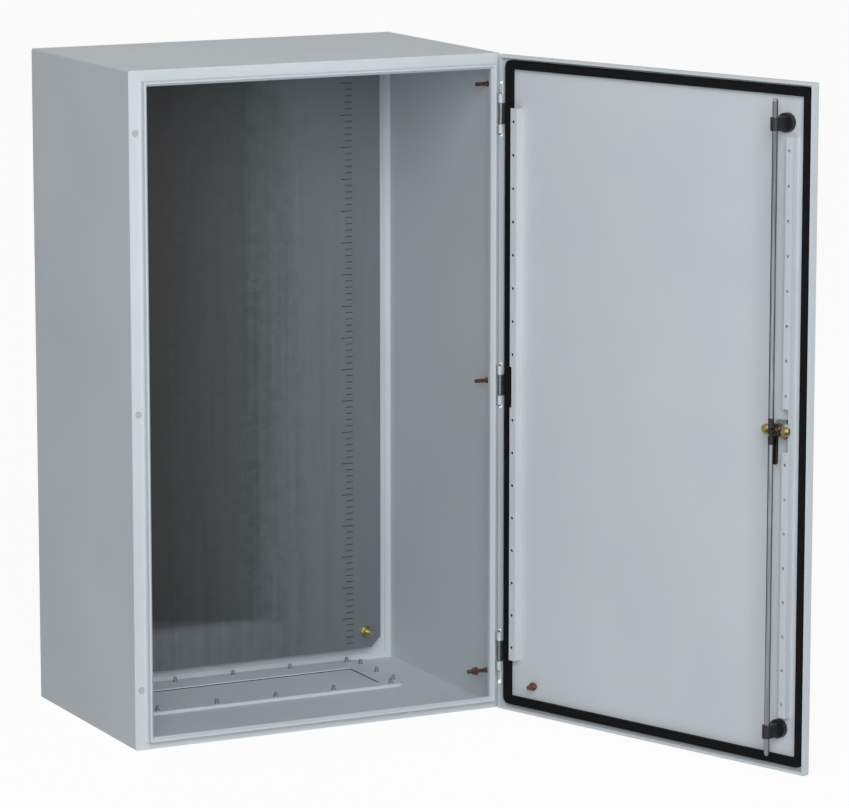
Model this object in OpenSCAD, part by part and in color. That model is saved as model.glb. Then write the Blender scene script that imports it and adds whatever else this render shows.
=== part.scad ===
// Steel wall enclosure with a hinged door and a rod lock.
// Origin: wall plane, centre of the four wall holes. The door faces -Y, its hinges are on +X.
// The door and all it carries are drawn closed, then swung open about the hinge pins.

/* [Enclosure] */
// Width of the body
body_w = 600; // [500:50:800]
// Height of the body
body_h = 1000; // [900:50:1200]
// Depth from the wall to the front face
body_d = 370; // [250:10:450]
// Steel sheet of the body
body_t = 1.5; // [1.2:0.1:1.5]

/* [Door] */
// How far the door stands open, in degrees
door_open = 110; // [0:5:120]
// Steel sheet of the door
door_t = 2; // [1.5:0.1:2]
// How deep the door's folded edges are
door_fold = 13; // [11:0.5:13]

/* [Lock] */
// Quarter turn of the lock: 0 is open, 90 is locked
lock_turn = 0; // [0:5:90]
// Diameter of the lock rods
rod_d = 8; // [6:0.5:8]

/* [Inside] */
// Thickness of the mounting plate
plate_t = 2; // [1.5:0.5:3]
// Pitch of the holes in the door's rails
hole_pitch = 50; // [25:25:100]

/* [Hidden] */

$fn = 48;
eps = 0.01;
half_w = body_w / 2;
half_h = body_h / 2;
body_r = 3;

// Raised lip round the door opening: distances from the body's sides to its outer crest edge
lip_h = 12;
lip_lock = 19.5;
lip_hinge = 11.5;
lip_top = 16.5;
lip_bottom = 12.5;
lip_w = body_w - lip_lock - lip_hinge;
lip_l = body_h - lip_top - lip_bottom;
lip_x = (lip_lock - lip_hinge) / 2;
lip_z = (lip_bottom - lip_top) / 2;
crest_w = 3;
crest_soft = 0.6;
taper_in = 3.5;
taper_h = 6;
fillet_r = 4;

// Door in its closed place
gasket_h = 6.7;
closed_gap = 0.3;
door_y = -(body_d + lip_h + closed_gap + gasket_h + door_t);
door_side = 3;
door_end = 1.5;
door_w = body_w - 2 * door_side;
door_h = body_h - 2 * door_end;
door_bend = 3;
door_flange = 4.5;
gasket_w = 13;
gasket_lock = 11.5;
gasket_hinge = 10.5;
gasket_top = 9.5;
gasket_bottom = 10;
gasket_r = 10;

// Hinges
hinge_x = half_w - 4;
hinge_y = -(body_d + 10);
hinge_z = [-(half_h - 90), 0, half_h - 90];
pin_r = 2;
pin_fit = 0.06;
barrel_r = 3.5;
barrel_h = 31;
knuckle_h = 13.5;
knuckle_gap = 0.5;
lug_w = 6;
leaf_t = 2;
leaf_depth = 8;
notch_depth = 5.4;
cap_r = 2.4;
cap_h = 12.5;
pin_end = 2.5;

// Lock
lock_x = -half_w + 57;
lock_bore_r = 10.2;
crank_r = 17.5;
throw = crank_r;
rod_off = 31.3;
rod_tip = half_h - 8.5;
rod_root = 24.5;
rod_drop = throw * (1 - lock_turn / 90);
guide_z = half_h - 61.5;
guide_r = 14;
guide_foot = 8;
guide_w = 14;
guide_h = 19;
rod_fit = 0.06;
cap_len = 12;
rod_cap_r = 4.2;
rod_neck_r = 2.6;

// Plugs in the holes of the spare hinge side
plug_r = 5;
plug_neck_r = 3.6;
plug_x = -half_w + 10.3;

// Rails on the door
rail_t = 1.5;
rail_h = 12.5;
rail_w = 12;
rail_end = half_h - 80;
rail_hole_r = 2.4;
rail_hole_in = 7;
rail_gap = 31;
hinge_rail_x = half_w - 39;
lock_rail_x = -half_w + 38;

// Mounting plate
plate_side = 30;
plate_end = 26;
plate_y = -24;
plate_fold = 10;
plate_clip = 16;
stud_x = half_w - 55;
stud_z = half_h - 52;
stud_r = 4;

// Raised floor panel that carries the gland plate
floor_x0 = -half_w + 85;
floor_x1 = half_w - 66;
floor_y0 = -10;
floor_y1 = -190;
floor_rise = 6;
floor_r = 18;
port_x0 = floor_x0 + 35;
port_x1 = floor_x1 - 35;
port_y0 = -61;
port_y1 = -168;
port_r = 4;
gland_t = 2;
gland_seal = 1.3;
gland_seal_w = 6;
gland_stud_r = 2.5;
gland_pitch = (floor_x1 - floor_x0 - 55) / 4;

// Wall fixing
wall_x = half_w - 31;
wall_z = half_h - 31;
rear_flange = 12;
wall_hole_r = 4.25;

powder = "#c3cbd1";
zinc = "#9da3a8";
copper = "#b9805f";
yellow = "#b7a564";
dark = "#2a2c2e";

// Extrudes a drawing of X and Z from y0 toward the front
module forward(y0, depth) {
    translate([0, y0, 0])
        rotate([90, 0, 0])
            linear_extrude(depth)
                children();
}

module roundedRect(w, h, r) {
    square([w - 2 * r, h], center = true);
    square([w, h - 2 * r], center = true);
    for (x = [-1, 1], z = [-1, 1])
        translate([x * (w / 2 - r), z * (h / 2 - r)])
            circle(r);
}

// Rectangle given by two corners, with round corners
module boxRect(x0, z0, x1, z1, r) {
    translate([(x0 + x1) / 2, (z0 + z1) / 2])
        roundedRect(abs(x1 - x0), abs(z1 - z0), r);
}

// A right prism along +Z with a regular hexagon across the flats
module hexPrism(flats, h) {
    cylinder(r = flats / sqrt(3), h = h, $fn = 6);
}

// Points of an arc about a centre
function arcPoints(cx, cy, r, a0, a1, n) =
    [for (i = [0 : n]) let (a = a0 + (a1 - a0) * i / n) [cx + r * cos(a), cy + r * sin(a)]];

// Bottom bar of a mitred frame w by h: profile x is the way in, profile y is the row's Y
module mitredBar(w, h, profile, out, inward) {
    intersection() {
        translate([w / 2 + out, 0, -h / 2])
            rotate([0, -90, 0])
                linear_extrude(w + 2 * out)
                    polygon(profile);
        translate([0, 2 * body_d, 0])
            forward(0, 4 * body_d)
                polygon([
                    [-w / 2 - out, -h / 2 - out],
                    [w / 2 + out, -h / 2 - out],
                    [w / 2 - inward, -h / 2 + inward],
                    [-w / 2 + inward, -h / 2 + inward]
                ]);
    }
}

// Four bars with mitred corners; the hinge side may have a profile of its own
module mitredFrame(w, h, profile, hinge_profile, out, inward) {
    mitredBar(w, h, profile, out, inward);
    rotate([0, 180, 0]) mitredBar(w, h, profile, out, inward);
    rotate([0, 90, 0]) mitredBar(h, w, profile, out, inward);
    rotate([0, -90, 0]) mitredBar(h, w, hinge_profile, out, inward);
}

// Swings what is drawn on the closed door
module onDoor() {
    translate([hinge_x, hinge_y, 0])
        rotate([0, 0, door_open])
            translate([-hinge_x, -hinge_y, 0])
                children();
}

// A place on the closed door: off is the depth behind the outer skin, children look along it
module behindSkin(x, off, z) {
    translate([x, door_y + off, z])
        rotate([-90, 0, 0])
            children();
}

// What turns with the lock: origin on the spindle axis at the outer skin, as unlocked
module onLock() {
    onDoor()
        translate([lock_x, door_y, 0])
            rotate([0, lock_turn, 0])
                children();
}

// A slice of the lock between two depths, drawn in X and Z
module lockLayer(off0, off1) {
    translate([0, off1, 0])
        forward(0, off1 - off0)
            children();
}

// Section of the lip: folded sheet that runs forward, over the crest and back into the opening
function lipProfile() =
    let (
        y0 = -body_d,
        top = y0 - lip_h,
        a = crest_w,
        b = crest_w + taper_in,
        t = body_t,
        back = top + taper_h
    )
    concat(
        arcPoints(-fillet_r, y0 - fillet_r, fillet_r, 90, 0, 6),
        [
            [0, top + crest_soft],
            [crest_soft, top],
            [a - crest_soft, top],
            [a, top + crest_soft],
            [b, back],
            [b, y0],
            [b - t, y0],
            [b - t, back + t / 2],
            [t + 0.2, top + crest_w + 0.3],
            [t, top + crest_w + 0.6],
            [t, y0 + t],
            [-fillet_r, y0 + t]
        ]
    );

module frontLip() {
    translate([lip_x, 0, lip_z])
        mitredFrame(lip_w, lip_l, lipProfile(), lipProfile(), fillet_r + 1, crest_w + taper_in + 1);
}

module floorRise() {
    inner = body_t;
    translate([0, 0, -half_h])
        difference() {
            linear_extrude(floor_rise)
                boxRect(floor_x0, floor_y0, floor_x1, floor_y1, floor_r);
            translate([0, 0, -eps])
                linear_extrude(floor_rise - body_t + eps)
                    boxRect(
                        floor_x0 + inner, floor_y0 - inner,
                        floor_x1 - inner, floor_y1 + inner, floor_r - inner
                    );
        }
}

gland_rear_y = floor_y0 - 12;
gland_front_y = floor_y1 + 10;
gland_points = concat(
    [
        for (i = [0 : 4], y = [gland_rear_y, gland_front_y])
            [floor_x0 + 32 + i * gland_pitch, y]
    ],
    [
        for (x = [floor_x0 + 9, floor_x1 - 9], i = [0 : 2])
            [x, gland_rear_y - 22 - i * 58]
    ]
);

module body_shell() {
    color(powder)
        difference() {
            union() {
                difference() {
                    forward(-body_t, body_d - body_t)
                        roundedRect(body_w, body_h, body_r);
                    forward(-body_t + eps, body_d + 1)
                        roundedRect(body_w - 2 * body_t, body_h - 2 * body_t, body_r - body_t);
                    translate([0, 0, -half_h - 1])
                        linear_extrude(body_t + 2)
                            boxRect(floor_x0, floor_y0, floor_x1, floor_y1, floor_r);
                }
                forward(-body_t, body_t)
                    difference() {
                        roundedRect(body_w, body_h, body_r);
                        square([body_w - 2 * rear_flange, body_h - 2 * rear_flange], center = true);
                    }
                forward(-body_d + body_t, body_t)
                    difference() {
                        roundedRect(body_w, body_h, body_r);
                        translate([lip_x, lip_z])
                            square([lip_w - 2 * body_t, lip_l - 2 * body_t], center = true);
                    }
                frontLip();
                floorRise();
            }
            translate([0, 0, -half_h - 1])
                linear_extrude(floor_rise + 2)
                    boxRect(port_x0, port_y0, port_x1, port_y1, port_r);
            for (p = gland_points)
                translate([p[0], p[1], -half_h - 1])
                    cylinder(r = gland_stud_r + 0.2, h = floor_rise + 2);
            for (z = hinge_z)
                translate([plug_x, -body_d - 1, z])
                    rotate([-90, 0, 0])
                        cylinder(r = plug_neck_r, h = body_t + 2);
        }
}

module rear_panel() {
    color(powder)
        forward(0, body_t)
            difference() {
                roundedRect(body_w, body_h, body_r);
                for (x = [-1, 1], z = [-1, 1])
                    translate([x * wall_x, z * wall_z])
                        circle(wall_hole_r);
            }
}

// Sheet with clipped corners, long edges folded back
module mounting_plate() {
    w = half_w - plate_side;
    h = half_h - plate_end;
    c = plate_clip;
    color(zinc)
        difference() {
            union() {
                forward(plate_y + plate_t, plate_t)
                    polygon([
                        [-w + c, -h], [w - c, -h], [w, -h + c], [w, h - c],
                        [w - c, h], [-w + c, h], [-w, h - c], [-w, -h + c]
                    ]);
                for (s = [-1, 1])
                    translate([s * (w - plate_t / 2), plate_y + plate_fold / 2, 0])
                        cube([plate_t, plate_fold, 2 * (h - c)], center = true);
            }
            for (x = [-1, 1], z = [-1, 1])
                translate([x * stud_x, 0, z * stud_z])
                    rotate([90, 0, 0])
                        cylinder(r = stud_r + 0.5, h = 60);
        }
}

// Welded studs with a shoulder that the plate sits on
module plate_studs() {
    color(zinc)
        for (x = [-1, 1], z = [-1, 1])
            translate([x * stud_x, -body_t, z * stud_z])
                rotate([90, 0, 0]) {
                    cylinder(r = stud_r, h = 40);
                    cylinder(r = 8, h = -plate_y - plate_t - body_t);
                }
}

module plate_nuts() {
    color(yellow)
        for (x = [-1, 1], z = [-1, 1])
            translate([x * stud_x, plate_y, z * stud_z])
                rotate([90, 0, 0])
                    difference() {
                        union() {
                            cylinder(r = 9.5, h = 1.8);
                            hexPrism(15, 9);
                        }
                        translate([0, 0, -1])
                            cylinder(r = stud_r, h = 12);
                    }
}

module gland_plate() {
    color(zinc)
        translate([0, 0, -half_h + floor_rise - body_t - gland_seal - gland_t])
            linear_extrude(gland_t)
                difference() {
                    boxRect(floor_x0 + 3, floor_y0 - 3, floor_x1 - 3, floor_y1 + 3, floor_r - 3);
                    for (p = gland_points)
                        translate(p) circle(gland_stud_r + 0.2);
                }
}

module gland_gasket() {
    color(dark)
        translate([0, 0, -half_h + floor_rise - body_t - gland_seal])
            linear_extrude(gland_seal)
                difference() {
                    boxRect(
                        port_x0 - gland_seal_w, port_y0 + gland_seal_w,
                        port_x1 + gland_seal_w, port_y1 - gland_seal_w, port_r + gland_seal_w
                    );
                    boxRect(port_x0, port_y0, port_x1, port_y1, port_r);
                }
}

// Flat-headed bolts from below, their tips showing through rivet rims on the raised panel
module gland_bolts() {
    head_h = floor_rise - body_t - gland_seal - gland_t - 0.2;
    color(zinc)
        for (p = gland_points)
            translate([p[0], p[1], -half_h]) {
                translate([0, 0, 0.2]) cylinder(r = gland_stud_r, h = floor_rise + 6.8);
                translate([0, 0, 0.2]) cylinder(r = 4.5, h = head_h);
                translate([0, 0, floor_rise]) cylinder(r = 3.6, h = 1.5);
            }
}

// Covers for the second set of hinge holes
module jamb_plugs() {
    color("#b4bab6")
        for (z = hinge_z)
            translate([plug_x, -body_d, z])
                rotate([90, 0, 0]) {
                    cylinder(r1 = plug_r, r2 = plug_r - 0.4, h = 1.2);
                    translate([0, 0, -body_t]) cylinder(r = plug_neck_r, h = body_t);
                }
}

stud_y = -(body_d - 37);
module side_studs() {
    color(copper)
        for (z = hinge_z)
            translate([half_w - body_t, stud_y, z == 0 ? 0 : sign(z) * (half_h - 50)])
                rotate([0, -90, 0]) {
                    cylinder(r = 3, h = z < 0 ? 32 : 20);
                    cylinder(r = 4.5, h = 1);
                }
}

module side_stud_nut() {
    color(copper)
        translate([half_w - body_t, stud_y, -(half_h - 50)])
            rotate([0, -90, 0])
                difference() {
                    union() {
                        translate([0, 0, 18]) hexPrism(10, 5);
                        translate([0, 0, 16.6]) cylinder(r = 6.5, h = 1.4);
                    }
                    cylinder(r = 3, h = 40);
                }
}

module hinge_knuckles() {
    reach = -hinge_y - body_d;
    color(powder)
        for (z = hinge_z, s = [-1, 1])
            translate([hinge_x, hinge_y, z + s * (barrel_h / 2 + knuckle_gap + knuckle_h / 2)])
                difference() {
                    union() {
                        cylinder(r = barrel_r, h = knuckle_h, center = true);
                        translate([0, reach / 2, 0])
                            cube([lug_w, reach, knuckle_h], center = true);
                    }
                    cylinder(r = pin_r, h = 2 * knuckle_h, center = true);
                }
}

module hinge_pins() {
    span = barrel_h / 2 + knuckle_gap + knuckle_h;
    color(zinc)
        for (z = hinge_z)
            translate([hinge_x, hinge_y, z]) {
                cylinder(r = pin_r, h = 2 * (span + pin_end), center = true);
                if (z != 0)
                    translate([0, 0, z > 0 ? 0 : -(span + pin_end + cap_h - 2)])
                        cylinder(r = pin_r - 0.4, h = span + pin_end + cap_h - 2);
            }
}

module hinge_caps() {
    span = barrel_h / 2 + knuckle_gap + knuckle_h + pin_end;
    color("#b4bab6")
        for (s = [-1, 1])
            translate([hinge_x, hinge_y, s * (hinge_z[2] + span + cap_h / 2)])
                difference() {
                    cylinder(r = cap_r, h = cap_h, center = true);
                    translate([0, 0, -s * (cap_h / 2 - (cap_h - 2) / 2 + eps)])
                        cylinder(r = pin_r - 0.4, h = cap_h - 2 + 2 * eps, center = true);
                }
}

// Section of the door's edge: rounded bend, folded return and a small inward flange
function doorProfile(flange) =
    let (y0 = door_y, t = door_t, r = door_bend, rim = door_y + door_fold, lap = 8)
    concat(
        [[lap, y0]],
        [for (i = [0 : 5]) [r - r * sin(18 * i), y0 + r - r * cos(18 * i)]],
        flange > t
            ? [[0, rim], [flange, rim], [flange, rim - t], [t, rim - t]]
            : [[0, rim], [t, rim]],
        [for (i = [5 : -1 : 0]) [r - (r - t) * sin(18 * i), y0 + r - (r - t) * cos(18 * i)]],
        [[lap, y0 + t]]
    );

module door_panel() {
    lap = 7;
    notches = [
        [hinge_z[2] - 34, hinge_z[2] + 48],
        [-35, 34],
        [hinge_z[0] - 51, hinge_z[0] + 34]
    ];
    color(powder)
        onDoor()
            difference() {
                union() {
                    forward(door_y + door_t, door_t)
                        square([door_w - 2 * lap, door_h - 2 * lap], center = true);
                    mitredFrame(
                        door_w, door_h, doorProfile(door_flange), doorProfile(door_t), 0, lap + 1
                    );
                }
                for (n = notches)
                    translate([half_w - 10, hinge_y - notch_depth, n[0]])
                        cube([20, 20, n[1] - n[0]]);
                behindSkin(lock_x, -1, 0)
                    cylinder(r = lock_bore_r + 0.1, h = door_t + 2);
            }
}

module door_gasket() {
    x0 = -half_w + gasket_lock;
    x1 = half_w - gasket_hinge;
    z0 = -half_h + gasket_bottom;
    z1 = half_h - gasket_top;
    color(dark)
        onDoor()
            forward(door_y + door_t + gasket_h, gasket_h)
                difference() {
                    boxRect(x0, z0, x1, z1, gasket_r);
                    translate([x0 + gasket_w, z0 + gasket_w])
                        square([x1 - x0 - 2 * gasket_w, z1 - z0 - 2 * gasket_w]);
                }
}

// Folded rail: flange down to the skin at x0, and a web of holes whose edge is notched from notch_x
module doorRail(x0, notch_x) {
    n = floor((half_h - 100) / hole_pitch);
    web_off = door_t + rail_h - rail_t;
    color(powder)
        onDoor()
            difference() {
                union() {
                    translate([x0, door_y + web_off, -rail_end])
                        cube([rail_w, rail_t, 2 * rail_end]);
                    translate([x0, door_y + door_t, -rail_end])
                        cube([rail_t, rail_h, 2 * rail_end]);
                }
                translate([notch_x, door_y + door_t - 1, -rail_gap])
                    cube([rail_w, rail_h + 2, 2 * rail_gap]);
                for (i = [-n : n])
                    if (abs(i * hole_pitch) > rail_gap + 5)
                        behindSkin(x0 + rail_hole_in, web_off - 1, i * hole_pitch)
                            cylinder(r = rail_hole_r, h = rail_t + 2);
            }
}

module hinge_rail() { doorRail(hinge_rail_x, hinge_rail_x + rail_w - 3.5); }
module lock_rail() { doorRail(lock_rail_x, lock_rail_x + rail_t); }

module hinge_leaves() {
    leaf_x = half_w - door_side - door_t - leaf_t;
    color("#c9cdd0")
        onDoor()
            for (z = hinge_z)
                difference() {
                    union() {
                        translate([hinge_x, hinge_y, z])
                            cylinder(r = barrel_r, h = barrel_h, center = true);
                        translate([leaf_x, hinge_y - leaf_depth + 0.5, z - barrel_h / 2])
                            cube([leaf_t, leaf_depth, barrel_h]);
                    }
                    translate([hinge_x, hinge_y, z])
                        cylinder(r = pin_r + pin_fit, h = 2 * barrel_h, center = true);
                }
}

module rod_guides() {
    color(dark)
        onDoor()
            for (s = [-1, 1])
                difference() {
                    union() {
                        behindSkin(lock_x, door_t, s * guide_z)
                            cylinder(r = guide_r, h = guide_foot);
                        translate([lock_x, door_y, s * guide_z - guide_h / 2])
                            linear_extrude(guide_h) {
                                translate([0, rod_off]) circle(guide_w / 2);
                                translate([-guide_w / 2, door_t + guide_foot - 1])
                                    square([guide_w, rod_off - door_t - guide_foot + 1]);
                            }
                    }
                    translate([lock_x, door_y + rod_off, s * guide_z])
                        cylinder(r = rod_d / 2 + rod_fit, h = 2 * guide_h, center = true);
                }
}

module lock_housing() {
    color(zinc)
        onDoor()
            difference() {
                union() {
                    behindSkin(lock_x, -2.5, 0) cylinder(r1 = 14, r2 = 15, h = 2.5);
                    behindSkin(lock_x, 0, 0) cylinder(r = lock_bore_r, h = 14);
                }
                behindSkin(lock_x, -3, 0) cylinder(r = 6.06, h = 20);
                behindSkin(lock_x, -3, 0) cylinder(r = 7, h = 6);
            }
}

module lock_nut() {
    color(zinc)
        onDoor()
            behindSkin(lock_x, door_t, 0)
                difference() {
                    hexPrism(27, 6);
                    translate([0, 0, -1]) cylinder(r = lock_bore_r, h = 8);
                }
}

module door_earth_stud() {
    color(copper)
        onDoor()
            behindSkin(half_w - 69, door_t, -half_h + 44) {
                cylinder(r = 3, h = 16);
                cylinder(r = 4.5, h = 1);
            }
}

module door_earth_nut() {
    color(copper)
        onDoor()
            behindSkin(half_w - 69, door_t + 4, -half_h + 44)
                difference() {
                    union() {
                        hexPrism(10, 5);
                        cylinder(r = 6.5, h = 1.4);
                    }
                    translate([0, 0, -1]) cylinder(r = 3, h = 8);
                }
}

module lock_spindle() {
    color(dark)
        onLock() {
            lockLayer(4.4, 28) circle(5.99);
            lockLayer(28, 34) circle(4.5);
            // Double-bit key end, seen from outside
            lockLayer(-1, 4.4) square([9, 3], center = true);
            lockLayer(-1, 4.4) circle(2.5);
        }
}

// Two-armed crank; its arms lie level while the lock is open
module lock_crank() {
    color(yellow)
        onLock()
            lockLayer(19, 22)
                difference() {
                    union() {
                        square([2 * crank_r, 15], center = true);
                        for (s = [-1, 1]) translate([s * crank_r, 0]) circle(7.5);
                        circle(11);
                    }
                    circle(5.99);
                    for (s = [-1, 1]) translate([s * crank_r, 0]) circle(3);
                }
}

module crank_bolts() {
    color(yellow)
        onLock()
            for (s = [-1, 1])
                translate([s * crank_r, 26.8, 0])
                    rotate([90, 0, 0]) {
                        cylinder(r = 3, h = 10);
                        translate([0, 0, 0.4]) hexPrism(8, 4.4);
                        translate([0, 0, 7.8]) cylinder(r = 4.6, h = 1.8);
                    }
}

module lock_tongue() {
    reach = 48;
    hw = 7.5;
    color("#5c5044")
        onLock()
            difference() {
                union() {
                    lockLayer(23.5, 26.5) circle(10);
                    lockLayer(23.5, 26.5)
                        polygon([
                            [-hw, 0], [hw, 0], [hw, -reach + 7], [hw - 5, -reach],
                            [-hw + 2, -reach], [-hw, -reach + 2]
                        ]);
                }
                lockLayer(20, 30) circle(5.99);
            }
}

module lock_washer() {
    color("#d5d8da")
        onLock() {
            lockLayer(22, 23.5)
                difference() {
                    circle(9);
                    circle(5.99);
                }
            lockLayer(26.5, 28)
                difference() {
                    circle(6.35);
                    circle(5.99);
                }
        }
}

// Rod that rises along +Z from the crank to behind the lip
module lockRod() {
    shift = -rod_drop;
    color("#8d9297")
        translate([lock_x, door_y + rod_off, shift]) {
            translate([0, 0, rod_root + cap_len])
                cylinder(r = rod_d / 2, h = rod_tip - rod_root - cap_len - 3);
            translate([0, 0, rod_tip - 3])
                cylinder(r1 = rod_d / 2, r2 = rod_d / 2 - 1.5, h = 3);
            translate([0, 0, rod_root + 3])
                cylinder(r = rod_neck_r, h = cap_len);
        }
}

module lockRodCap() {
    color(dark)
        translate([lock_x, door_y + rod_off, rod_root - rod_drop])
            difference() {
                cylinder(r = rod_cap_r, h = cap_len);
                translate([0, 0, 3])
                    cylinder(r = rod_neck_r, h = cap_len);
            }
}

module rod_upper() { onDoor() lockRod(); }
module rod_cap_upper() { onDoor() lockRodCap(); }
module rod_lower() { onDoor() mirror([0, 0, 1]) lockRod(); }
module rod_cap_lower() { onDoor() mirror([0, 0, 1]) lockRodCap(); }

body_shell();
rear_panel();
mounting_plate();
plate_studs();
plate_nuts();
gland_plate();
gland_gasket();
gland_bolts();
jamb_plugs();
side_studs();
side_stud_nut();
hinge_knuckles();
hinge_pins();
hinge_caps();
door_panel();
door_gasket();
hinge_rail();
lock_rail();
hinge_leaves();
rod_guides();
lock_housing();
lock_nut();
door_earth_stud();
door_earth_nut();
lock_spindle();
lock_crank();
crank_bolts();
lock_tongue();
lock_washer();
rod_upper();
rod_cap_upper();
rod_lower();
rod_cap_lower();
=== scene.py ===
from math import radians

import bmesh
import bpy
from mathutils import Matrix, Vector


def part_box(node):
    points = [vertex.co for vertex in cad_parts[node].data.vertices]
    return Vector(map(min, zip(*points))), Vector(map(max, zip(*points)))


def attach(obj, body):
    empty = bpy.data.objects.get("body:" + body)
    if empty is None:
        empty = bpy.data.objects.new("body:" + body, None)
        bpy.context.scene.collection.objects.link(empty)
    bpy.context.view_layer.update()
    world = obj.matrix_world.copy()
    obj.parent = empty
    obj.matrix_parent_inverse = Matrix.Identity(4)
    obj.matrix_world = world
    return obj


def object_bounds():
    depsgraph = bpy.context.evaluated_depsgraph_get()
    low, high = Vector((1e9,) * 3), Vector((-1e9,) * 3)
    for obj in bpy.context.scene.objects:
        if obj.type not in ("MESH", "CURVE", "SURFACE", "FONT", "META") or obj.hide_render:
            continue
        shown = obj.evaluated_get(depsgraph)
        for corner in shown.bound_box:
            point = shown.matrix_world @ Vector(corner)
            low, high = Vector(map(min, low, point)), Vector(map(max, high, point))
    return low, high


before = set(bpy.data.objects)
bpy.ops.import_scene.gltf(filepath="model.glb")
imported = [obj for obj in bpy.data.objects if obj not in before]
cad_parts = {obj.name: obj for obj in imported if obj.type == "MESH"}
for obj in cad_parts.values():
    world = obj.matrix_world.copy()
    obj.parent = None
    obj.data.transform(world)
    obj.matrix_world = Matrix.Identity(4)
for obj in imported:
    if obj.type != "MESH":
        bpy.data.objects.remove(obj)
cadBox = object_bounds()
mm = 0.001


def hexColour(text):
    # sRGB hex to the linear colour that Blender's sockets hold
    parts = [int(text[i:i + 2], 16) / 255 for i in (1, 3, 5)]
    linear = [p / 12.92 if p <= 0.04045 else ((p + 0.055) / 1.055) ** 2.4 for p in parts]
    return (*linear, 1.0)


cameraView = {
    "place": (-2.8066, -6.2904, 1.1591),
    "down": 10.03,  # degrees below the horizon
    "turn": -26.675,  # degrees about Z
    "lensMm": 191.0,
    "sensorMm": 36,
    "shift": (0.0044, -0.0059),
    "farthest": 60,
}


def makeCamera():
    data = bpy.data.cameras.new("viewCamera")
    data.lens = cameraView["lensMm"]
    data.sensor_width = cameraView["sensorMm"]
    data.shift_x, data.shift_y = cameraView["shift"]
    data.clip_end = cameraView["farthest"]
    camera = bpy.data.objects.new("viewCamera", data)
    camera.location = cameraView["place"]
    camera.rotation_euler = (radians(90 - cameraView["down"]), 0, radians(cameraView["turn"]))
    bpy.context.collection.objects.link(camera)
    bpy.context.scene.camera = camera


makeCamera()
print("camera placed")


def fillInputs(tree, node, inputs):
    # each input as a value, or as a link from another node's output
    for name, value in inputs.items():
        if isinstance(value, bpy.types.NodeSocket):
            tree.links.new(value, node.inputs[name])
        else:
            node.inputs[name].default_value = value


def addNode(tree, kind, settings=None, inputs=None, stops=None):
    # one node with its settings and inputs; stops are a colour ramp's (position, hex) pairs
    node = tree.nodes.new(kind)
    for name, value in (settings or {}).items():
        setattr(node, name, value)
    fillInputs(tree, node, inputs or {})
    if stops:
        marks = node.color_ramp.elements
        marks[0].position, marks[0].color = stops[0][0], hexColour(stops[0][1])
        marks[1].position, marks[1].color = stops[-1][0], hexColour(stops[-1][1])
        for position, colour in stops[1:-1]:
            marks.new(position).color = hexColour(colour)
    return node


def newMaterial(name):
    material = bpy.data.materials.new(name)
    material.use_nodes = True
    tree = material.node_tree
    return material, tree, tree.nodes["Principled BSDF"]


def objectPlace(tree):
    return addNode(tree, "ShaderNodeTexCoord").outputs["Object"]


def perMetre(sizeMm):
    # a texture's scale for features of this size
    return 1000 / sizeMm


noiseSpan = {"From Min": 0.3, "From Max": 0.7}  # the values that a noise texture mostly gives

powderLook = {
    "light": "#cfd6db",
    "mid": "#cbd3d8",
    "dim": "#c8cfd5",
    "driftMm": 260,  # slow drift of the tone over a sheet
    "peelMm": 3.0,  # real orange peel is about 1 mm across, drawn coarser so that it shows
    "rough": (0.47, 0.55),
    "bump": 0.16,
    "bumpMm": 0.12,
}


def powderCoat():
    # polyester powder coat on steel, baked: an even satin grey whose faint orange peel
    # breaks up the sheen
    material, tree, shader = newMaterial("powderCoat")
    place = objectPlace(tree)
    drift = addNode(tree, "ShaderNodeTexNoise", inputs={
        "Vector": place, "Scale": perMetre(powderLook["driftMm"]),
        "Detail": 2.0, "Roughness": 0.5})
    peel = addNode(tree, "ShaderNodeTexNoise", inputs={
        "Vector": place, "Scale": perMetre(powderLook["peelMm"]),
        "Detail": 3.0, "Roughness": 0.55})
    colour = addNode(tree, "ShaderNodeValToRGB", inputs={"Fac": drift.outputs["Fac"]}, stops=[
        (0.3, powderLook["dim"]), (0.5, powderLook["mid"]), (0.7, powderLook["light"])])
    rough = addNode(tree, "ShaderNodeMapRange", inputs={
        "Value": peel.outputs["Fac"], **noiseSpan,
        "To Min": powderLook["rough"][0], "To Max": powderLook["rough"][1]})
    bump = addNode(tree, "ShaderNodeBump", inputs={
        "Strength": powderLook["bump"], "Distance": powderLook["bumpMm"] * mm,
        "Height": peel.outputs["Fac"]})
    fillInputs(tree, shader, {
        "Base Color": colour.outputs["Color"],
        "Roughness": rough.outputs["Result"],
        "Normal": bump.outputs["Normal"],
        "IOR": 1.5,
    })
    return material


galvanisedLook = {
    "spangleMm": 14,
    "spangleTone": 0.03,
    "streakMm": 9,
    "streakTone": 0.1,
    "streakAlong": 0.03,  # the streaks' scale up the sheet, against 1 across it
    "shades": [
        (0.1, "#393a39"),
        (0.38, "#3e4040"),
        (0.6, "#505557"),
        (0.78, "#757a7e"),
        (1.0, "#80868a"),
    ],
    "rightPaintedReflection": 0.95,  # painted reflection and shade: the pale right edge's tone; the dark left edge has 0
    # painted reflection: the tone of the pale foot
    "footPaintedReflection": 0.68,
    "footPaintedReflectionFade": (-0.42, -0.37),  # heights between which the painted pale foot fades out
    "rough": (0.42, 0.5),
    "metallic": 0.6,
}


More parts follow.
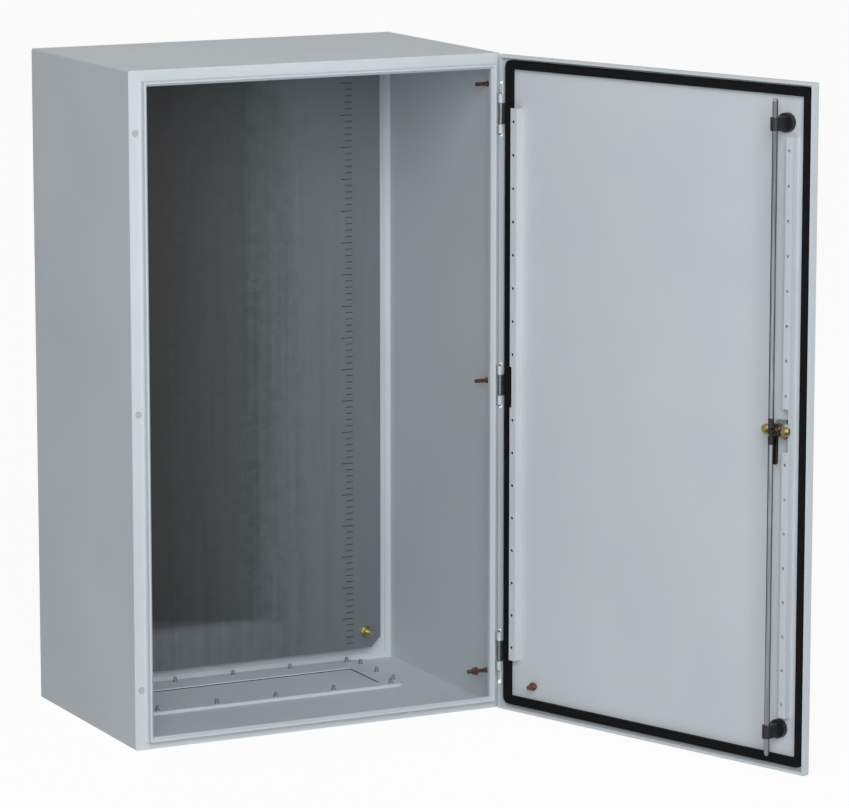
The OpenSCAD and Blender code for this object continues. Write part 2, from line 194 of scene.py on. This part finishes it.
def galvanisedSheet():
    # hot-dip galvanised sheet: faint spangle and rolling streaks. Its tone is painted
    # reflection
    # and shade, painted by place on the sheet: dark on the left, pale on the right and at the
    # foot
    material, tree, shader = newMaterial("galvanisedSheet")
    place = objectPlace(tree)
    spangle = addNode(tree, "ShaderNodeTexVoronoi", {"feature": "F1"}, {
        "Vector": place, "Scale": perMetre(galvanisedLook["spangleMm"]), "Randomness": 1.0})
    cell = addNode(tree, "ShaderNodeSeparateColor", inputs={"Color": spangle.outputs["Color"]})
    stretch = addNode(tree, "ShaderNodeMapping", inputs={
        "Vector": place, "Scale": (1.0, 1.0, galvanisedLook["streakAlong"])})
    streak = addNode(tree, "ShaderNodeTexNoise", inputs={
        "Vector": stretch.outputs["Vector"], "Scale": perMetre(galvanisedLook["streakMm"]),
        "Detail": 2.0})
    spot = addNode(tree, "ShaderNodeSeparateXYZ", inputs={"Vector": place})
    low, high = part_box("mounting_plate")
    # painted reflection and shade: the tone runs from dark at the left edge to pale at the
    # right
    across = addNode(tree, "ShaderNodeMapRange", inputs={
        "Value": spot.outputs["X"], "From Min": low[0], "From Max": high[0],
        "To Min": 0.0, "To Max": galvanisedLook["rightPaintedReflection"]})
    footLow, footHigh = galvanisedLook["footPaintedReflectionFade"]
    # painted reflection: the tone turns pale along the foot
    foot = addNode(tree, "ShaderNodeMapRange", {"interpolation_type": "SMOOTHSTEP"}, {
        "Value": spot.outputs["Z"], "From Min": footLow, "From Max": footHigh,
        "To Min": galvanisedLook["footPaintedReflection"], "To Max": 0.0})
    tone = addNode(tree, "ShaderNodeMath", {"operation": "MAXIMUM"}, {
        0: across.outputs["Result"], 1: foot.outputs["Result"]})
    mottled = addNode(tree, "ShaderNodeMath", {"operation": "MULTIPLY_ADD"}, {
        0: cell.outputs["Red"], 1: galvanisedLook["spangleTone"], 2: tone.outputs["Value"]})
    shade = addNode(tree, "ShaderNodeMath", {"operation": "MULTIPLY_ADD"}, {
        0: streak.outputs["Fac"], 1: galvanisedLook["streakTone"], 2: mottled.outputs["Value"]})
    colour = addNode(tree, "ShaderNodeValToRGB", inputs={"Fac": shade.outputs["Value"]},
                     stops=galvanisedLook["shades"])
    rough = addNode(tree, "ShaderNodeMapRange", inputs={
        "Value": streak.outputs["Fac"], **noiseSpan,
        "To Min": galvanisedLook["rough"][0], "To Max": galvanisedLook["rough"][1]})
    fillInputs(tree, shader, {
        "Base Color": colour.outputs["Color"],
        "Roughness": rough.outputs["Result"],
        "Metallic": galvanisedLook["metallic"],
    })
    return material


platedLook = {
    # finish: (low colour, high colour, roughness, grain in mm)
    "zincPlate": ("#8f9496", "#b6babb", 0.32, 2.5),
    "agedZinc": ("#6f7476", "#92979a", 0.5, 2.5),
    "yellowZinc": ("#8a8050", "#bdb288", 0.28, 3.0),
    "copperPlate": ("#7c5a50", "#a98270", 0.36, 2.5),
    "darkPassivatedSteel": ("#3f372e", "#6a5f50", 0.36, 4.0),
    "dieCastZinc": ("#a3a6a8", "#c2c5c6", 0.34, 1.5),
}
platedWear = {
    "glossier": 0.05,  # how far the roughness falls and rises over the wear
    "duller": 0.07,
    "bump": 0.1,
    "bumpMm": 0.08,
}


def platedMetal(name):
    # a thin plating on turned or pressed steel, or bare die-cast zinc: slightly cloudy
    # colour, with fine wear in the gloss
    low, high, rough, grain = platedLook[name]
    material, tree, shader = newMaterial(name)
    cloud = addNode(tree, "ShaderNodeTexNoise", inputs={
        "Vector": objectPlace(tree), "Scale": perMetre(grain), "Detail": 4.0, "Roughness": 0.6})
    colour = addNode(tree, "ShaderNodeValToRGB", inputs={"Fac": cloud.outputs["Fac"]},
                     stops=[(0.32, low), (0.68, high)])
    gloss = addNode(tree, "ShaderNodeMapRange", inputs={
        "Value": cloud.outputs["Fac"], **noiseSpan,
        "To Min": rough - platedWear["glossier"], "To Max": rough + platedWear["duller"]})
    bump = addNode(tree, "ShaderNodeBump", inputs={
        "Strength": platedWear["bump"], "Distance": platedWear["bumpMm"] * mm,
        "Height": cloud.outputs["Fac"]})
    fillInputs(tree, shader, {
        "Base Color": colour.outputs["Color"],
        "Roughness": gloss.outputs["Result"],
        "Normal": bump.outputs["Normal"],
        "Metallic": 1.0,
    })
    return material


drawnLook = {
    "low": "#8d9296",
    "high": "#b7bcbf",
    # painted reflection: near-black tint of the reflection toward the bar's edges
    "edge": "#0d0f11",
    "rough": 0.17,
    "lineMm": 1.2,
    "lineAlong": 0.02,  # the lines' scale along the bar, against 1 across it
    "bump": 0.08,
    "bumpMm": 0.05,
}


def drawnSteel():
    # bright drawn bar under a film of oil: a mirror with fine lines along it, with a painted
    # reflection that darkens it toward its edges through a near-black specular tint
    material, tree, shader = newMaterial("brightDrawnSteel")
    stretch = addNode(tree, "ShaderNodeMapping", inputs={
        "Vector": objectPlace(tree), "Scale": (1.0, 1.0, drawnLook["lineAlong"])})
    line = addNode(tree, "ShaderNodeTexNoise", inputs={
        "Vector": stretch.outputs["Vector"], "Scale": perMetre(drawnLook["lineMm"]),
        "Detail": 2.0})
    colour = addNode(tree, "ShaderNodeValToRGB", inputs={"Fac": line.outputs["Fac"]},
                     stops=[(0.3, drawnLook["low"]), (0.7, drawnLook["high"])])
    bump = addNode(tree, "ShaderNodeBump", inputs={
        "Strength": drawnLook["bump"], "Distance": drawnLook["bumpMm"] * mm,
        "Height": line.outputs["Fac"]})
    fillInputs(tree, shader, {
        "Base Color": colour.outputs["Color"],
        "Normal": bump.outputs["Normal"],
        "Metallic": 1.0,
        "Roughness": drawnLook["rough"],
        # painted reflection: the near-black specular tint darkens the bar toward its edges
        "Specular Tint": hexColour(drawnLook["edge"]),
    })
    return material


mouldedLook = {
    # finish: (low colour, high colour, roughness, grain in mm, bump, specular level)
    "blackNylon": ("#141618", "#1f2224", 0.42, 0.8, 0.2, 0.45),
    "greyPlug": ("#a9b0ab", "#b7beb8", 0.5, 1.2, 0.15, 0.5),
    "foamedSeal": ("#0a0b0c", "#141618", 0.8, 1.6, 0.5, 0.12),
    "stampedInk": ("#25272a", "#323437", 0.6, 2.0, 0.1, 0.2),
}
mouldedBumpMm = 0.1


def mouldedGrain(name):
    # moulded nylon or polythene, foamed polyurethane or dried ink: a fine grain that
    # spreads the highlight
    low, high, rough, grain, depth, shine = mouldedLook[name]
    material, tree, shader = newMaterial(name)
    speck = addNode(tree, "ShaderNodeTexNoise", inputs={
        "Vector": objectPlace(tree), "Scale": perMetre(grain), "Detail": 3.0, "Roughness": 0.6})
    colour = addNode(tree, "ShaderNodeValToRGB", inputs={"Fac": speck.outputs["Fac"]},
                     stops=[(0.35, low), (0.65, high)])
    bump = addNode(tree, "ShaderNodeBump", inputs={
        "Strength": depth, "Distance": mouldedBumpMm * mm, "Height": speck.outputs["Fac"]})
    fillInputs(tree, shader, {
        "Base Color": colour.outputs["Color"],
        "Normal": bump.outputs["Normal"],
        "Roughness": rough,
        "Specular IOR Level": shine,
    })
    return material


finishes = {
    "powderCoat": powderCoat(),
    "galvanisedSheet": galvanisedSheet(),
    "brightDrawnSteel": drawnSteel(),
}
for finishName in platedLook:
    finishes[finishName] = platedMetal(finishName)
for finishName in mouldedLook:
    finishes[finishName] = mouldedGrain(finishName)

nodeFinish = {
    "powderCoat": [
        "body_shell", "rear_panel", "gland_plate", "hinge_knuckles", "door_panel", "hinge_rail",
        "lock_rail"],
    "galvanisedSheet": ["mounting_plate"],
    "zincPlate": ["plate_studs", "gland_bolts", "lock_nut"],
    "agedZinc": ["hinge_pins", "hinge_leaves"],
    "dieCastZinc": ["lock_housing"],
    "brightDrawnSteel": ["rod_upper", "rod_lower", "lock_washer"],
    "yellowZinc": ["plate_nuts", "lock_crank", "crank_bolts"],
    "copperPlate": ["side_studs", "side_stud_nut", "door_earth_stud", "door_earth_nut"],
    "darkPassivatedSteel": ["lock_tongue"],
    "blackNylon": ["rod_guides", "lock_spindle", "rod_cap_upper", "rod_cap_lower"],
    "greyPlug": ["jamb_plugs", "hinge_caps"],
    "foamedSeal": ["door_gasket", "gland_gasket"],
}


def dressNodes():
    for finish, names in nodeFinish.items():
        for name in names:
            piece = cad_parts[name]
            if not piece.material_slots:
                piece.data.materials.append(finishes[finish])
            for each in piece.material_slots:
                each.material = finishes[finish]


dressNodes()
print("materials set")


def addPiece(name, mesh, finish, body):
    data = bpy.data.meshes.new(name)
    bmesh.ops.recalc_face_normals(mesh, faces=mesh.faces)
    mesh.to_mesh(data)
    mesh.free()
    data.materials.append(finishes[finish])
    piece = bpy.data.objects.new(name, data)
    bpy.context.collection.objects.link(piece)
    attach(piece, body)


plateMarks = {
    "pitchMm": 10,
    "longEvery": 5,
    "longMm": 19,
    "shortMm": 12,
    "lineMm": 1.1,
    "fromEdgeMm": 48,  # plate's right edge to the marks' outer ends
    "proudMm": 0.15,
}


def makePlateMarks():
    # cutting marks every 10 mm up from the plate's lower edge, longer every 50 mm, the last
    # one at least half a step below the upper edge
    low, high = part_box("mounting_plate")
    mesh = bmesh.new()
    pitch = plateMarks["pitchMm"] * mm
    right = high[0] - plateMarks["fromEdgeMm"] * mm
    thick = plateMarks["proudMm"] * mm
    line = plateMarks["lineMm"] * mm
    rows = int((high[2] - low[2]) / pitch - 0.5)
    for i in range(1, rows + 1):
        wide = plateMarks["longMm" if i % plateMarks["longEvery"] == 0 else "shortMm"] * mm
        centre = (right - wide / 2, low[1] - thick / 2, low[2] + i * pitch)
        bmesh.ops.create_cube(mesh, size=1.0, matrix=(
            Matrix.Translation(centre) @ Matrix.Diagonal((wide, thick, line, 1))))
    addPiece("plate_scale_marks", mesh, "stampedInk", "cabinet")


makePlateMarks()
print("plate marks made")


lightSet = {
    "world": 0.25,
    "target": (0, -0.3, 0),
    "frontLight": {"place": (-1.6, -5.1, 2.3), "size": 3.2, "power": 200},
    "sideLight": {"place": (-4.0, -1.5, 0.6), "size": 2.5, "power": 1.5},
}


def whiteBackdrop():
    # the world lights the object softly, but looks plain white to the camera and in
    # reflections
    world = bpy.data.worlds.new("studio")
    world.use_nodes = True
    bpy.context.scene.world = world
    tree = world.node_tree
    tree.nodes.clear()
    path = addNode(tree, "ShaderNodeLightPath")
    seen = addNode(tree, "ShaderNodeMath", {"operation": "MAXIMUM"}, {
        0: path.outputs["Is Camera Ray"], 1: path.outputs["Is Glossy Ray"]})
    seenAll = addNode(tree, "ShaderNodeMath", {"operation": "MAXIMUM"}, {
        0: seen.outputs["Value"], 1: path.outputs["Is Transmission Ray"]})
    strength = addNode(tree, "ShaderNodeMapRange", inputs={
        "Value": seenAll.outputs["Value"], "To Min": lightSet["world"], "To Max": 1.0})
    glow = addNode(tree, "ShaderNodeBackground", inputs={
        "Color": (1, 1, 1, 1), "Strength": strength.outputs["Result"]})
    addNode(tree, "ShaderNodeOutputWorld", inputs={"Surface": glow.outputs["Background"]})


def areaLight(name):
    values = lightSet[name]
    data = bpy.data.lights.new(name, "AREA")
    data.shape = "SQUARE"
    data.size = values["size"]
    data.energy = values["power"]
    lamp = bpy.data.objects.new(name, data)
    lamp.location = values["place"]
    aim = Vector(lightSet["target"]) - Vector(values["place"])
    lamp.rotation_euler = aim.to_track_quat("-Z", "Y").to_euler()
    bpy.context.collection.objects.link(lamp)


floorLook = {
    "colour": "#f4f4f4",
    "rough": 0.9,
    "white": 0.94,  # share of plain white in what the camera sees, the rest is the lit floor
    "reach": 14,
    "belowMm": 1,
}


def paleFloor():
    # matt studio floor: plain white to the camera except where the object shades it
    material, tree, shader = newMaterial("studioFloor")
    fillInputs(tree, shader, {
        "Base Color": hexColour(floorLook["colour"]), "Roughness": floorLook["rough"]})
    path = addNode(tree, "ShaderNodeLightPath")
    glow = addNode(tree, "ShaderNodeEmission", inputs={"Color": (1, 1, 1, 1), "Strength": 1.0})
    fade = addNode(tree, "ShaderNodeMixShader", inputs={
        0: floorLook["white"], 1: shader.outputs["BSDF"], 2: glow.outputs["Emission"]})
    mix = addNode(tree, "ShaderNodeMixShader", inputs={
        0: path.outputs["Is Camera Ray"], 1: shader.outputs["BSDF"], 2: fade.outputs["Shader"]})
    fillInputs(tree, tree.nodes["Material Output"], {"Surface": mix.outputs["Shader"]})
    mesh = bmesh.new()
    height = cadBox[0][2] - floorLook["belowMm"] * mm
    bmesh.ops.create_grid(mesh, x_segments=1, y_segments=1, size=floorLook["reach"],
                          matrix=Matrix.Translation((0, 0, height)))
    data = bpy.data.meshes.new("studioFloor")
    mesh.to_mesh(data)
    mesh.free()
    data.materials.append(material)
    floor = bpy.data.objects.new("studioFloor", data)
    bpy.context.collection.objects.link(floor)


whiteBackdrop()
areaLight("frontLight")
areaLight("sideLight")
paleFloor()
bpy.context.scene.view_settings.view_transform = "Standard"
print("light and floor set")
